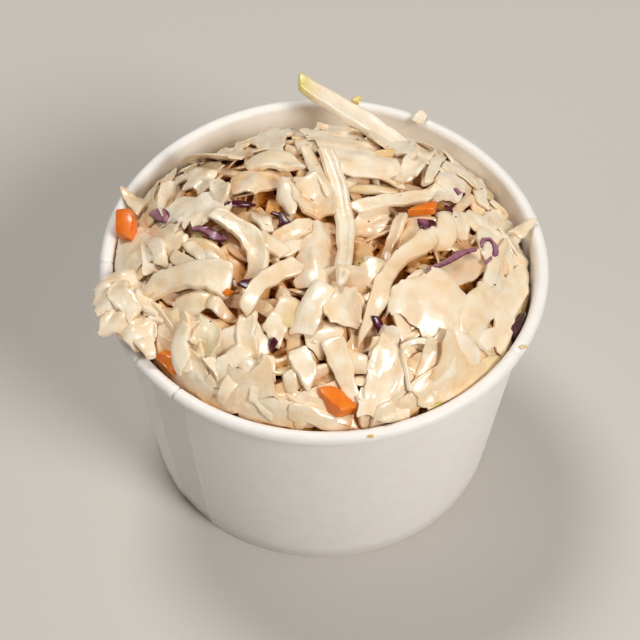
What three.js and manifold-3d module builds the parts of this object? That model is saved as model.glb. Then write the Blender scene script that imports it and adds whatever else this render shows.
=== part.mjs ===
// Coleslaw in a white paper portion cup: a cup of two pieces of paperboard, the heap of dressed slaw that fills
// it, four carrot chunks big enough to be told apart, and one long cabbage rib that lies over the back rim.
// Millimetres, +Z up. The origin is on the cup's axis, on the surface that the cup stands on; -Y is the front.
import * as THREE from "three";
import { mergeVertices } from "three/addons/utils/BufferGeometryUtils.js";
import Module from "manifold-3d";

const wasm = await Module();
wasm.setup();

// Driving dimensions of the cup.
const CUP_HEIGHT = 59;
const RIM_RADIUS = 48;
const FOOT_RADIUS = 39.4;
const ROLL_DIAMETER = 2.9;
const BOARD = 0.5;
const GAP = 0.3;
const BASE_LIFT = 6;
const HEM_HEIGHT = 5.4;
const SEAM_STEP = 0.4;
const SEAM_FROM = THREE.MathUtils.degToRad(217);
const SEAM_TO = THREE.MathUtils.degToRad(231);
const ROUND_SEGMENTS = 48;

// Driving dimensions of the slaw. Heights are above the rim.
const DOME = 12;
const EDGE_HIGH = -0.5;
const EDGE_LOW = -8;
const FULLEST_SIDE = THREE.MathUtils.degToRad(245);
const SHOULDER = 2.6;
const TROUGH_SIDE = THREE.MathUtils.degToRad(108);
const TROUGH_DEPTH = 5.4;
const TROUGH_START = 0.868;
const HEAP_RINGS = [0.93, TROUGH_START, 0.84, 0.74, 0.62, 0.48, 0.33, 0.17, 0];
const SHRED_COUNT = 16;
const GOLDEN_ANGLE = Math.PI * (3 - Math.sqrt(5));

// Mounds and dips of the heap: place, how far the surface rises or sinks there, and how wide the swell is.
const SWELLS = [
  { x: -20, y: 12, rise: 3, spread: 13 },
  { x: 22, y: -18, rise: 4, spread: 11 },
  { x: -24, y: -22, rise: 2.5, spread: 10 },
  { x: 9, y: 2, rise: -4, spread: 8 },
  { x: 20, y: 26, rise: 2, spread: 9 },
];

// The leafy clump that hangs over the rim at the left.
const CLUMP = { x: -40.1, y: -22, lift: 2.4, width: 15, depth: 17, height: 7 };

const wallTop = CUP_HEIGHT - ROLL_DIAMETER / 2;
const wallTopRadius = RIM_RADIUS - ROLL_DIAMETER + BOARD;
const insideBase = BASE_LIFT + BOARD;

const wallRadius = (z) => FOOT_RADIUS + ((wallTopRadius - FOOT_RADIUS) * z) / wallTop;
const insideRadius = (z) => wallRadius(Math.min(z, wallTop)) - BOARD;

const material = (color, roughness) => new THREE.MeshStandardMaterial({ color, roughness, metalness: 0 });
const paper = material(0xf2ece6, 0.6);
const slaw = material(0xefe3c2, 0.4);
const rib = material(0xf3ead2, 0.35);
const carrot = material(0xe8741c, 0.4);

// A lathe turns about +Y; this stands it up about +Z. An outline runs counter-clockwise in (radius, height).
function turned(outline, segments) {
  const points = outline.map(([r, z]) => new THREE.Vector2(r, z));
  return new THREE.LatheGeometry(points, segments).rotateX(Math.PI / 2);
}

function arc(centreRadius, centreZ, radius, from, to, steps) {
  return Array.from({ length: steps + 1 }, (_, i) => {
    const angle = THREE.MathUtils.degToRad(from + ((to - from) * i) / steps);
    return [centreRadius + radius * Math.cos(angle), centreZ + radius * Math.sin(angle)];
  });
}

function solidOf(geometry) {
  const bare = geometry.clone();
  bare.deleteAttribute("normal");
  bare.deleteAttribute("uv");
  const merged = mergeVertices(bare, 1e-4);
  return new wasm.Manifold(
    new wasm.Mesh({
      numProp: 3,
      vertProperties: new Float32Array(merged.attributes.position.array),
      triVerts: new Uint32Array(merged.index.array),
    }),
  );
}

function geometryOf(solid) {
  const mesh = solid.getMesh();
  const geometry = new THREE.BufferGeometry();
  geometry.setAttribute("position", new THREE.BufferAttribute(mesh.vertProperties, 3));
  geometry.setIndex(new THREE.BufferAttribute(mesh.triVerts, 1));
  geometry.computeVertexNormals();
  return geometry;
}

// The side wall: one blank, rolled outwards into the rim and folded up inside the foot as a hem.
function wallOutline() {
  const rollCentre = RIM_RADIUS - ROLL_DIAMETER / 2;
  const rollOutside = ROLL_DIAMETER / 2;
  const hemOutside = (z) => wallRadius(z) - 2 * BOARD - 2 * GAP;
  const hemInside = (z) => hemOutside(z) - BOARD;
  return [
    [hemInside(0), 0],
    [wallRadius(0), 0],
    [wallRadius(wallTop - rollOutside), wallTop - rollOutside],
    [wallTopRadius, wallTop],
    ...arc(rollCentre, wallTop, rollOutside - BOARD, 180, -110, 6).slice(1),
    ...arc(rollCentre, wallTop, rollOutside, -110, 180, 8),
    [wallRadius(BOARD) - BOARD, BOARD],
    [hemOutside(BOARD), BOARD],
    [hemOutside(HEM_HEIGHT), HEM_HEIGHT],
    [hemInside(HEM_HEIGHT), HEM_HEIGHT],
    [hemInside(0), 0],
  ];
}

// The side seam: the blank's outer end, lapped over the inner one, stands a little proud of the wall.
function seamLap() {
  const top = wallTop - ROLL_DIAMETER / 2;
  const lap = turned(
    [
      [wallRadius(0) - BOARD / 2, 0],
      [wallRadius(0) + SEAM_STEP, 0],
      [wallRadius(top) + SEAM_STEP, top],
      [wallRadius(top) - BOARD / 2, top],
      [wallRadius(0) - BOARD / 2, 0],
    ],
    ROUND_SEGMENTS,
  );
  const sector = new THREE.Shape();
  sector.moveTo(0, 0);
  for (let i = 0; i <= 4; i += 1) {
    const angle = SEAM_FROM + ((SEAM_TO - SEAM_FROM) * i) / 4;
    sector.lineTo(2 * RIM_RADIUS * Math.cos(angle), 2 * RIM_RADIUS * Math.sin(angle));
  }
  sector.closePath();
  const wedge = new THREE.ExtrudeGeometry(sector, { depth: CUP_HEIGHT, bevelEnabled: false });
  return solidOf(lap).intersect(solidOf(wedge));
}

function cupWall() {
  return geometryOf(solidOf(turned(wallOutline(), ROUND_SEGMENTS)).add(seamLap()));
}

// The bottom: a disc whose edge turns down between the wall and its hem.
function baseOutline() {
  const flangeFoot = BOARD + GAP;
  const flangeOutside = (z) => wallRadius(z) - BOARD - GAP;
  return [
    [0, BASE_LIFT],
    [flangeOutside(BASE_LIFT) - BOARD, BASE_LIFT],
    [flangeOutside(flangeFoot) - BOARD, flangeFoot],
    [flangeOutside(flangeFoot), flangeFoot],
    [flangeOutside(insideBase), insideBase],
    [0, insideBase],
  ];
}

// At the back the slaw stands off the wall and leaves a trough, deepest where it starts.
function troughDepth(share, angle) {
  if (share < TROUGH_START - 0.001) return 0;
  const facing = Math.max(0, Math.cos(angle - TROUGH_SIDE)) ** 4;
  return TROUGH_DEPTH * facing * (1 - (0.8 * (share - TROUGH_START)) / (1 - TROUGH_START));
}

// Height of the heap's surface, with its mounds, dips and a fine uneven ripple.
function heapHeight(x, y) {
  const angle = Math.atan2(y, x);
  const share = Math.min(Math.hypot(x, y) / insideRadius(CUP_HEIGHT), 1);
  const towardsFull = (1 + Math.cos(angle - FULLEST_SIDE)) / 2;
  const edge = EDGE_LOW + (EDGE_HIGH - EDGE_LOW) * towardsFull;
  const dome = edge + (DOME - edge) * (1 - share ** SHOULDER) - troughDepth(share, angle);
  const swell = SWELLS.reduce(
    (sum, s) => sum + s.rise * Math.exp(-((x - s.x) ** 2 + (y - s.y) ** 2) / (2 * s.spread ** 2)),
    0,
  );
  const ripple = 0.8 * Math.sin(x / 2.9 + Math.sin(y / 4.1)) * Math.cos(y / 3.3 - x / 7);
  return CUP_HEIGHT + dome + (swell + ripple) * (1 - share ** 4);
}

// The body of the heap: it fills the cup to a gap off the paper, and domes above the rim.
function heapBody() {
  const bottom = insideBase + GAP;
  const outline = [
    [0, bottom],
    [1, bottom],
    [1, CUP_HEIGHT],
    ...HEAP_RINGS.map((share) => [share, CUP_HEIGHT]),
  ];
  const geometry = turned(outline, ROUND_SEGMENTS);
  const place = geometry.attributes.position;
  for (let i = 0; i < place.count; i += 1) {
    const share = Math.hypot(place.getX(i), place.getY(i));
    const angle = Math.atan2(place.getY(i), place.getX(i));
    const low = place.getZ(i) < CUP_HEIGHT;
    const reach = insideRadius(CUP_HEIGHT) * share;
    const z = low ? bottom : heapHeight(reach * Math.cos(angle), reach * Math.sin(angle));
    const radius = share * (insideRadius(z) - GAP);
    place.setXYZ(i, radius * Math.cos(angle), radius * Math.sin(angle), z);
  }
  return solidOf(geometry);
}

function flatSection(width, thickness) {
  const w = width / 2;
  const t = thickness / 2;
  const section = new THREE.Shape();
  section.moveTo(-t, -w * 0.7);
  section.lineTo(0, -w);
  section.lineTo(t, -w * 0.7);
  section.lineTo(t, w * 0.7);
  section.lineTo(0, w);
  section.lineTo(-t, w * 0.7);
  section.closePath();
  return section;
}

function stripAlong(points, width, thickness, steps) {
  const extrudePath = new THREE.CatmullRomCurve3(points);
  return new THREE.ExtrudeGeometry(flatSection(width, thickness), { steps, extrudePath });
}

// One shred that lies on the heap, with its middle bowed up off the surface.
function shredOnHeap(index) {
  const share = Math.sqrt((index + 0.5) / SHRED_COUNT);
  const angle = index * GOLDEN_ANGLE;
  const centre = new THREE.Vector2(Math.cos(angle), Math.sin(angle)).multiplyScalar(31 * share);
  const heading = index * 2.1;
  const length = 15 + 7 * Math.sin(index * 1.7);
  const along = new THREE.Vector2(Math.cos(heading), Math.sin(heading)).multiplyScalar(length / 2);
  const bow = new THREE.Vector2(-along.y, along.x).multiplyScalar(0.3 * Math.sin(index));
  const points = [-1, 0, 1].map((side) => {
    const place = centre.clone().addScaledVector(along, side);
    if (side === 0) place.add(bow);
    return new THREE.Vector3(place.x, place.y, heapHeight(place.x, place.y) + (side === 0 ? 1 : 0));
  });
  return solidOf(stripAlong(points, 4 + Math.sin(index * 3.1), 2.6, 4));
}

function clumpOverRim() {
  const geometry = new THREE.SphereGeometry(0.5, 12, 7);
  const place = geometry.attributes.position;
  for (let i = 0; i < place.count; i += 1) {
    const [x, y, z] = [place.getX(i), place.getY(i), place.getZ(i)];
    const lump = 1 + 0.12 * Math.sin(11 * x) * Math.cos(9 * y + 7 * z);
    place.setXYZ(i, x * lump, y * lump, z * lump);
  }
  geometry.scale(CLUMP.width, CLUMP.depth, CLUMP.height);
  geometry.rotateZ(Math.atan2(CLUMP.y, CLUMP.x));
  return solidOf(geometry.translate(CLUMP.x, CLUMP.y, CUP_HEIGHT + CLUMP.lift));
}

// A chunk cut from a carrot: a squared bar whose far end is pared down on one side. Its margin grows every face.
function carrotChunk({ size, place, turn, tilt }, margin = 0) {
  const [long, wide, deep] = size.map((side) => side + 2 * margin);
  const geometry = new THREE.BoxGeometry(long, wide, deep, 4, 2, 2);
  const vertex = geometry.attributes.position;
  for (let i = 0; i < vertex.count; i += 1) {
    const along = vertex.getX(i) / long + 0.5;
    const taper = 1 - 0.3 * along * along;
    const bulge = 0.08 * long * Math.sin(Math.PI * along);
    vertex.setXYZ(i, vertex.getX(i), vertex.getY(i) * taper + bulge, vertex.getZ(i) * taper);
  }
  geometry.rotateY(THREE.MathUtils.degToRad(tilt));
  geometry.rotateZ(THREE.MathUtils.degToRad(turn));
  return geometry.translate(place[0], place[1], CUP_HEIGHT + place[2]);
}

// The long cabbage rib: from inside the heap, up over the back rim, to a free end in the air.
function ribStrip(margin = 0) {
  const points = [
    new THREE.Vector3(19.5, 23.5, CUP_HEIGHT + 4.4),
    new THREE.Vector3(13, 29.8, CUP_HEIGHT + 5.6),
    new THREE.Vector3(6.3, 35, CUP_HEIGHT + 6.1),
    new THREE.Vector3(-0.5, 40.3, CUP_HEIGHT + 7),
    new THREE.Vector3(-7.3, 45, CUP_HEIGHT + 8.6),
  ];
  const into = points[0].clone().sub(points[1]).setLength(margin);
  points[0].add(into);
  const grown = 2 * margin;
  return stripAlong(points, 5 + grown, 2.6 + grown, 8);
}

// Each chunk: its length, width and depth, its middle (height above the rim), its turn about +Z and its tilt.
const CARROTS = {
  carrot_left: { size: [9, 6, 5.5], place: [-40.6, 3, 1], turn: 80, tilt: -28 },
  carrot_front: { size: [10, 6, 5], place: [2.8, -38.4, 1.8], turn: 150, tilt: 14 },
  carrot_side: { size: [9, 4, 4.5], place: [-30.4, -28, 0.9], turn: 137, tilt: 0 },
  carrot_back: { size: [9, 5, 3.5], place: [21.7, 4.4, 10.4], turn: 12, tilt: 12 },
};

// The heap is everything loose in one solid, cleared by a gap round the wall, the carrots and the long rib.
function slawHeap(wallGrown) {
  let loose = clumpOverRim();
  for (let i = 0; i < SHRED_COUNT; i += 1) {
    loose = loose.add(shredOnHeap(i));
  }
  let heap = heapBody().add(loose.subtract(wallGrown));
  for (const chunk of Object.values(CARROTS)) {
    heap = heap.subtract(solidOf(carrotChunk(chunk, GAP)));
  }
  heap = heap.subtract(solidOf(ribStrip(GAP)));
  const bodies = heap.decompose().sort((a, b) => b.volume() - a.volume());
  return geometryOf(bodies[0]);
}

// The room that the rim and the wall need: a ring a gap wider than they are, open to nothing inside.
function wallClearance() {
  const rollCentre = RIM_RADIUS - ROLL_DIAMETER / 2;
  const rollOutside = ROLL_DIAMETER / 2 + GAP;
  return solidOf(
    turned(
      [
        [wallRadius(0) + 10, 0],
        [RIM_RADIUS + GAP, wallTop],
        ...arc(rollCentre, wallTop, rollOutside, 0, 180, 10).slice(1),
        [insideRadius(0) - GAP, 0],
        [wallRadius(0) + 10, 0],
      ],
      ROUND_SEGMENTS,
    ),
  );
}

function named(name, geometry, finish) {
  const mesh = new THREE.Mesh(geometry, finish);
  mesh.name = name;
  return mesh;
}

const coleslaw = new THREE.Group();
coleslaw.add(named("cup_wall", cupWall(), paper));
coleslaw.add(named("cup_base", turned(baseOutline(), ROUND_SEGMENTS), paper));
coleslaw.add(named("slaw_heap", slawHeap(wallClearance()), slaw));
for (const [name, chunk] of Object.entries(CARROTS)) {
  coleslaw.add(named(name, carrotChunk(chunk), carrot));
}
coleslaw.add(named("rib_strip", ribStrip(), rib));

export default coleslaw;
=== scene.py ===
import math

import bmesh
import bpy
import numpy as np
from mathutils import Matrix, Vector


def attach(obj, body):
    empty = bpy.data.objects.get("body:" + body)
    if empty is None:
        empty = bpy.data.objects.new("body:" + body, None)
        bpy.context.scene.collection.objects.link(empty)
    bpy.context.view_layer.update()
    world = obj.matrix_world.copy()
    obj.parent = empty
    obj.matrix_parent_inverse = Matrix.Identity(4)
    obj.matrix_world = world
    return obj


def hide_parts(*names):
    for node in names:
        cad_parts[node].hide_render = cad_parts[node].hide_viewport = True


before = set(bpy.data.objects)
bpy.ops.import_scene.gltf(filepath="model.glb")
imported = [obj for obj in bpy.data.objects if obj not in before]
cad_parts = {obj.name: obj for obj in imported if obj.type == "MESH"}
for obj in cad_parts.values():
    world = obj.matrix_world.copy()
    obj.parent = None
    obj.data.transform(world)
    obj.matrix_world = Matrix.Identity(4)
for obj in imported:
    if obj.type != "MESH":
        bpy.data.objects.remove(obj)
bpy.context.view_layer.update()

chance = np.random.default_rng(8)

# Sizes are in millimetres, and become metres when a piece is finished. They repeat the CAD's own.
MM = 0.001
CUP_HEIGHT = 59.0
RIM_RADIUS = 48.0
FOOT_RADIUS = 39.4
ROLL_DIAMETER = 2.9
BOARD = 0.5
GAP = 0.3
BASE_LIFT = 6.0
HEM_HEIGHT = 5.4
SEAM_STEP = 0.4
SEAM_FROM = 217
SEAM_TO = 231
WALL_TOP = CUP_HEIGHT - ROLL_DIAMETER / 2
WALL_TOP_RADIUS = RIM_RADIUS - ROLL_DIAMETER + BOARD

DOME = 12.0
EDGE_HIGH = -0.5
EDGE_LOW = -8.0
FULLEST_SIDE = math.radians(245)
SHOULDER = 2.6
TROUGH_SIDE = math.radians(108)
TROUGH_DEPTH = 5.4
TROUGH_START = 0.868
SWELLS = ((-20, 12, 3, 13), (22, -18, 4, 11), (-24, -22, 2.5, 10), (9, 2, -4, 8), (20, 26, 2, 9))


def wall_radius(z):
    return FOOT_RADIUS + (WALL_TOP_RADIUS - FOOT_RADIUS) * z / WALL_TOP


def inside_radius(z):
    return wall_radius(np.minimum(z, WALL_TOP)) - BOARD


# --- Materials ------------------------------------------------------------------------------------------------


def colour(hex_value):
    """A linear colour with alpha from an sRGB hex value."""
    parts = [int(hex_value[i:i + 2], 16) / 255 for i in (0, 2, 4)]
    return [p / 12.92 if p <= 0.04045 else ((p + 0.055) / 1.055) ** 2.4 for p in parts] + [1.0]


def node(tree, kind, settings=None, **inputs):
    """A new node: its settings, then its sockets, each a value or another node's output."""
    new = tree.nodes.new(kind)
    for name, value in (settings or {}).items():
        setattr(new, name, value)
    for name, value in inputs.items():
        name = int(name[1:]) if name[0] == "_" else name.replace("_", " ")
        if isinstance(value, bpy.types.NodeSocket):
            tree.links.new(value, new.inputs[name])
        else:
            new.inputs[name].default_value = value
    return new


def new_material(name):
    made = bpy.data.materials.new(name)
    made.use_nodes = True
    made.node_tree.nodes.clear()
    return made, made.node_tree


def finish_material(tree, bsdf, bump=None):
    if bump is not None:
        tree.links.new(bump.outputs["Normal"], bsdf.inputs["Normal"])
    output = tree.nodes.new("ShaderNodeOutputMaterial")
    tree.links.new(bsdf.outputs["BSDF"], output.inputs["Surface"])


def coated_paperboard():
    """Bleached cup board with a thin satin coating: white, with faint fibre clouds a few millimetres across
    and a very shallow grain, so a highlight on it is broad and a little uneven."""
    made, tree = new_material("coated_paperboard")
    place = node(tree, "ShaderNodeTexCoord").outputs["Object"]
    clouds = node(tree, "ShaderNodeTexNoise", Vector=place, Scale=260.0, Detail=5.0, Roughness=0.65)
    fibre = node(tree, "ShaderNodeTexNoise", Vector=place, Scale=1900.0, Detail=3.0, Roughness=0.6)
    paint = node(tree, "ShaderNodeMix", {"data_type": "RGBA"}, Factor=clouds.outputs["Fac"])
    paint.inputs[6].default_value = colour("efe9e3")
    paint.inputs[7].default_value = colour("faf6f1")
    gloss = node(tree, "ShaderNodeMapRange", Value=clouds.outputs["Fac"], To_Min=0.42, To_Max=0.58)
    bump = node(tree, "ShaderNodeBump", Strength=0.25, Distance=0.00012, Height=fibre.outputs["Fac"])
    bsdf = node(
        tree, "ShaderNodeBsdfPrincipled", Base_Color=paint.outputs[2], Roughness=gloss.outputs["Result"],
        Subsurface_Weight=0.15, Subsurface_Radius=(0.001, 0.0008, 0.0006), Subsurface_Scale=1.0, IOR=1.48,
    )
    finish_material(tree, bsdf, bump)
    return made


def dressed_cabbage(name, low, high, deep, moist, glow):
    """Raw white cabbage coated in a thin egg and oil dressing. Low and high are the two ends of its
    piece-to-piece colour, deep is the green-yellow of outer leaf, and the coat is the wet dressing. The shade's blue
    blends towards amber where a piece lies deep in the heap: painted shade in the gaps, with dressing pooled there."""
    made, tree = new_material(name)
    place = node(tree, "ShaderNodeTexCoord").outputs["Object"]
    shade = node(tree, "ShaderNodeSeparateColor", Color=node(
        tree, "ShaderNodeVertexColor", {"layer_name": "shade"}).outputs["Color"])
    cream = node(tree, "ShaderNodeTexNoise", Vector=place, Scale=260.0, Detail=3.0, Roughness=0.5)
    spread = node(tree, "ShaderNodeMapRange", Value=cream.outputs["Fac"], From_Min=0.3, From_Max=0.7,
                  To_Min=-0.2, To_Max=0.2)
    blend = node(tree, "ShaderNodeMath", {"operation": "ADD", "use_clamp": True},
                 _0=shade.outputs["Red"], _1=spread.outputs["Result"])
    paint = node(tree, "ShaderNodeMix", {"data_type": "RGBA"}, Factor=blend.outputs[0])
    paint.inputs[6].default_value = colour(low)
    paint.inputs[7].default_value = colour(high)
    leaf = node(tree, "ShaderNodeMix", {"data_type": "RGBA"}, Factor=shade.outputs["Green"])
    tree.links.new(paint.outputs[2], leaf.inputs[6])
    leaf.inputs[7].default_value = colour(deep)
    # Painted shade: deeper points blend towards amber, standing in for the shade in the gaps, with the dressing that
    # gathers there.
    pooled_dressing_and_painted_shade = node(tree, "ShaderNodeMix", {"data_type": "RGBA"}, Factor=shade.outputs["Blue"])
    tree.links.new(leaf.outputs[2], pooled_dressing_and_painted_shade.inputs[6])
    pooled_dressing_and_painted_shade.inputs[7].default_value = colour("d68a14")
    grain = node(tree, "ShaderNodeAttribute", {"attribute_name": "grain"}).outputs["Vector"]
    fibre = node(tree, "ShaderNodeTexNoise", Vector=grain, Scale=0.35, Detail=3.0, Roughness=0.55)
    drops = node(tree, "ShaderNodeTexNoise", Vector=place, Scale=380.0, Detail=2.0, Roughness=0.45)
    bump_low = node(tree, "ShaderNodeBump", Strength=0.25, Distance=0.0005, Height=fibre.outputs["Fac"])
    bump = node(tree, "ShaderNodeBump", Strength=0.5, Distance=0.0006, Height=drops.outputs["Fac"],
                Normal=bump_low.outputs["Normal"])
    gloss = node(tree, "ShaderNodeMapRange", Value=cream.outputs["Fac"], To_Min=moist, To_Max=moist + 0.25)
    bsdf = node(
        tree, "ShaderNodeBsdfPrincipled", Base_Color=pooled_dressing_and_painted_shade.outputs[2], Roughness=gloss.outputs["Result"],
        Subsurface_Weight=glow, Subsurface_Radius=(0.0013, 0.0011, 0.0009), Subsurface_Scale=1.0,
        IOR=1.42, Coat_Weight=0.6, Coat_Roughness=0.15,
    )
    finish_material(tree, bsdf, bump)
    return made


def cut_carrot():
    """Raw carrot with wet cut faces: saturated orange with paler streaks, glowing a little at its edges."""
    made, tree = new_material("cut_carrot")
    place = node(tree, "ShaderNodeTexCoord").outputs["Object"]
    streak = node(tree, "ShaderNodeTexNoise", Vector=place, Scale=420.0, Detail=4.0, Roughness=0.6)
    paint = node(tree, "ShaderNodeMix", {"data_type": "RGBA"}, Factor=streak.outputs["Fac"])
    paint.inputs[6].default_value = colour("e45a06")
    paint.inputs[7].default_value = colour("ff9a2c")
    bump = node(tree, "ShaderNodeBump", Strength=0.5, Distance=0.0004, Height=streak.outputs["Fac"])
    bsdf = node(
        tree, "ShaderNodeBsdfPrincipled", Base_Color=paint.outputs[2], Roughness=0.32,
        Subsurface_Weight=0.4, Subsurface_Radius=(0.003, 0.0012, 0.0004), Subsurface_Scale=1.0,
        IOR=1.45, Coat_Weight=0.3, Coat_Roughness=0.1,
    )
    finish_material(tree, bsdf, bump)
    return made


def red_cabbage():
    """Red cabbage: a thin purple skin over a whitish mauve inside, so the rim of a shred is the darkest."""
    made, tree = new_material("red_cabbage")
    place = node(tree, "ShaderNodeTexCoord").outputs["Object"]
    shade = node(tree, "ShaderNodeSeparateColor", Color=node(
        tree, "ShaderNodeVertexColor", {"layer_name": "shade"}).outputs["Color"])
    cloud = node(tree, "ShaderNodeTexNoise", Vector=place, Scale=500.0, Detail=3.0)
    spread = node(tree, "ShaderNodeMapRange", Value=cloud.outputs["Fac"], From_Min=0.3, From_Max=0.7,
                  To_Min=-0.3, To_Max=0.3)
    blend = node(tree, "ShaderNodeMath", {"operation": "ADD", "use_clamp": True},
                 _0=shade.outputs["Red"], _1=spread.outputs["Result"])
    paint = node(tree, "ShaderNodeMix", {"data_type": "RGBA"}, Factor=blend.outputs[0])
    paint.inputs[6].default_value = colour("b87c92")
    paint.inputs[7].default_value = colour("4c0820")
    bsdf = node(
        tree, "ShaderNodeBsdfPrincipled", Base_Color=paint.outputs[2], Roughness=0.3,
        Subsurface_Weight=0.2, Subsurface_Radius=(0.002, 0.0008, 0.001), Subsurface_Scale=1.0,
        IOR=1.45, Coat_Weight=0.3, Coat_Roughness=0.1,
    )
    finish_material(tree, bsdf)
    return made


def plain(name, hex_value, roughness):
    made, tree = new_material(name)
    bsdf = node(tree, "ShaderNodeBsdfPrincipled", Base_Color=colour(hex_value), Roughness=roughness)
    finish_material(tree, bsdf)
    return made


PAPER = coated_paperboard()
CABBAGE = dressed_cabbage("dressed_white_cabbage", "e6aa44", "fbeed6", "c2b43a", 0.18, 0.15)
LEAF = dressed_cabbage("dressed_cabbage_leaf", "e8ac48", "fcefd9", "c4b63e", 0.18, 0.1)
RIB = dressed_cabbage("raw_cabbage_rib", "edc698", "fdefdc", "dccf4a", 0.2, 0.5)
# The core's amber is painted shade for the gaps between pieces, together with the dressing packed there.
MASH = dressed_cabbage("cabbage_dressing_and_painted_shade", "dc8c1c", "f0b44a", "a08a30", 0.28, 0.3)
CARROT = cut_carrot()
RED = red_cabbage()
PEPPER = plain("ground_pepper", "1e140c", 0.6)


# --- Finishing a piece ----------------------------------------------------------------------------------------


def finished(name, bm, material, replaces=(), smooth=True):
    """A bmesh in metres becomes a piece that rides with the cup."""
    mesh = bpy.data.meshes.new(name)
    bm.to_mesh(mesh)
    bm.free()
    mesh.polygons.foreach_set("use_smooth", [smooth] * len(mesh.polygons))
    mesh.materials.append(material)
    piece = bpy.data.objects.new(name, mesh)
    bpy.context.scene.collection.objects.link(piece)
    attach(piece, "root")
    if replaces:
        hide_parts(*replaces)
    return piece


# --- The cup --------------------------------------------------------------------------------------------------


def arc(centre_r, centre_z, radius, start, end, steps):
    turn = [math.radians(start + (end - start) * i / steps) for i in range(steps + 1)]
    return [(centre_r + radius * math.cos(a), centre_z + radius * math.sin(a)) for a in turn]


def spun(outline, steps):
    """A closed outline of (radius, height) in millimetres, spun about the cup's axis."""
    bm = bmesh.new()
    points = [bm.verts.new((r * MM, 0, z * MM)) for r, z in outline]
    edges = [bm.edges.new((a, b)) for a, b in zip(points, points[1:])]
    closed = outline[0][0] > 1e-6
    if closed:
        edges.append(bm.edges.new((points[-1], points[0])))
    bmesh.ops.spin(bm, geom=points + edges, cent=(0, 0, 0), axis=(0, 0, 1), angle=math.tau,
                   steps=steps, use_merge=True)
    bmesh.ops.remove_doubles(bm, verts=bm.verts, dist=1e-6)
    bmesh.ops.recalc_face_normals(bm, faces=bm.faces)
    return bm


def wall_outline():
    centre = RIM_RADIUS - ROLL_DIAMETER / 2
    outside = ROLL_DIAMETER / 2
    hem = lambda z: wall_radius(z) - 2 * BOARD - 2 * GAP
    lip = arc(centre, WALL_TOP, outside - BOARD, 180, -150, 16)[1:] + arc(centre, WALL_TOP, outside, -150, 180, 26)
    rise = [(wall_radius(z), z) for z in np.linspace(0.35, WALL_TOP - outside, 12)]
    fall = [(inside_radius(z), z) for z in np.linspace(WALL_TOP - 1, 1, 12)]
    return (
        [(hem(0) - BOARD + 0.2, 0), (wall_radius(0) - 0.25, 0)] + rise + [(WALL_TOP_RADIUS, WALL_TOP)] + lip
        + fall + [(hem(BOARD), BOARD), (hem(HEM_HEIGHT), HEM_HEIGHT), (hem(HEM_HEIGHT) - BOARD, HEM_HEIGHT),
                  (hem(0) - BOARD, 0.2)]
    )


def crease(bm, degrees, depth, half_width):
    """A sharp dent across the rolled rim where the board was folded on itself."""
    for side in (-half_width, 0, half_width):
        turn = math.radians(degrees + side)
        ahead = Vector((math.cos(turn), math.sin(turn), 0))
        near = [f for f in bm.faces if f.calc_center_median().xy.dot(ahead.xy) > 0.04
                and f.calc_center_median().z > (WALL_TOP - 4) * MM]
        geom = set(near) | {e for f in near for e in f.edges} | {v for f in near for v in f.verts}
        bmesh.ops.bisect_plane(bm, geom=list(geom), dist=1e-7, plane_co=(0, 0, 0),
                               plane_no=(-math.sin(turn), math.cos(turn), 0))
    turn = math.radians(degrees)
    middle = Vector(((RIM_RADIUS - ROLL_DIAMETER / 2) * MM, 0, WALL_TOP * MM))
    for vert in bm.verts:
        x = vert.co.x * math.cos(turn) + vert.co.y * math.sin(turn)
        y = -vert.co.x * math.sin(turn) + vert.co.y * math.cos(turn)
        if x > 0 and abs(y) < 2e-5 and vert.co.z > (WALL_TOP - 1.3) * MM:
            away = Vector((x, 0, vert.co.z)) - middle
            if away.length > 0.0012:
                x -= away.normalized().x * depth * MM
                vert.co = (x * math.cos(turn), x * math.sin(turn), vert.co.z - away.normalized().z * depth * MM)


def make_cup():
    bm = spun(wall_outline(), 160)
    for degrees, depth, half_width in ((183, 0.35, 0.5), (SEAM_FROM, 0.3, 0.5), (SEAM_TO, 0.45, 0.5), (328, 0.3, 0.5)):
        crease(bm, degrees, depth, half_width)
    lap = bmesh.new()
    bmesh.ops.create_grid(lap, x_segments=14, y_segments=12, size=0.5)
    for vert in lap.verts:
        turn = math.radians(SEAM_FROM + (SEAM_TO - SEAM_FROM) * (vert.co.x + 0.5))
        z = 0.3 + (WALL_TOP - ROLL_DIAMETER / 2 - 0.2) * (vert.co.y + 0.5)
        radius = wall_radius(z) + 0.02
        vert.co = (radius * MM * math.cos(turn), radius * MM * math.sin(turn), z * MM)
    bmesh.ops.solidify(lap, geom=list(lap.faces), thickness=-SEAM_STEP * MM)
    bmesh.ops.recalc_face_normals(lap, faces=lap.faces)
    together = bpy.data.meshes.new("seam")
    lap.to_mesh(together)
    lap.free()
    bm.from_mesh(together)
    wall = finished("cup_side_wall", bm, PAPER, ["cup_wall"])
    bottom = spun(
        [(0, BASE_LIFT)] + [(r, BASE_LIFT) for r in (12, 24, 34)] + [
            (wall_radius(BASE_LIFT) - 2 * BOARD - GAP - 0.6, BASE_LIFT),
            (wall_radius(BASE_LIFT) - 2 * BOARD - GAP, BASE_LIFT - 0.6),
            (wall_radius(0) - 2 * BOARD - GAP, BOARD + GAP),
            (wall_radius(0) - BOARD - GAP, BOARD + GAP),
            (wall_radius(BASE_LIFT) - BOARD - GAP, BASE_LIFT),
            (wall_radius(BASE_LIFT) - BOARD - GAP - 0.5, BASE_LIFT + BOARD),
            (30, BASE_LIFT + BOARD), (15, BASE_LIFT + BOARD), (0, BASE_LIFT + BOARD)], 160)
    finished("cup_bottom", bottom, PAPER, ["cup_base"])
    return wall


# --- The heap: a height map that every laid piece rests on and adds to ------------------------------------------

PITCH = 0.35
SPAN = 53.0
COUNT = int(2 * SPAN / PITCH) + 1


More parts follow.
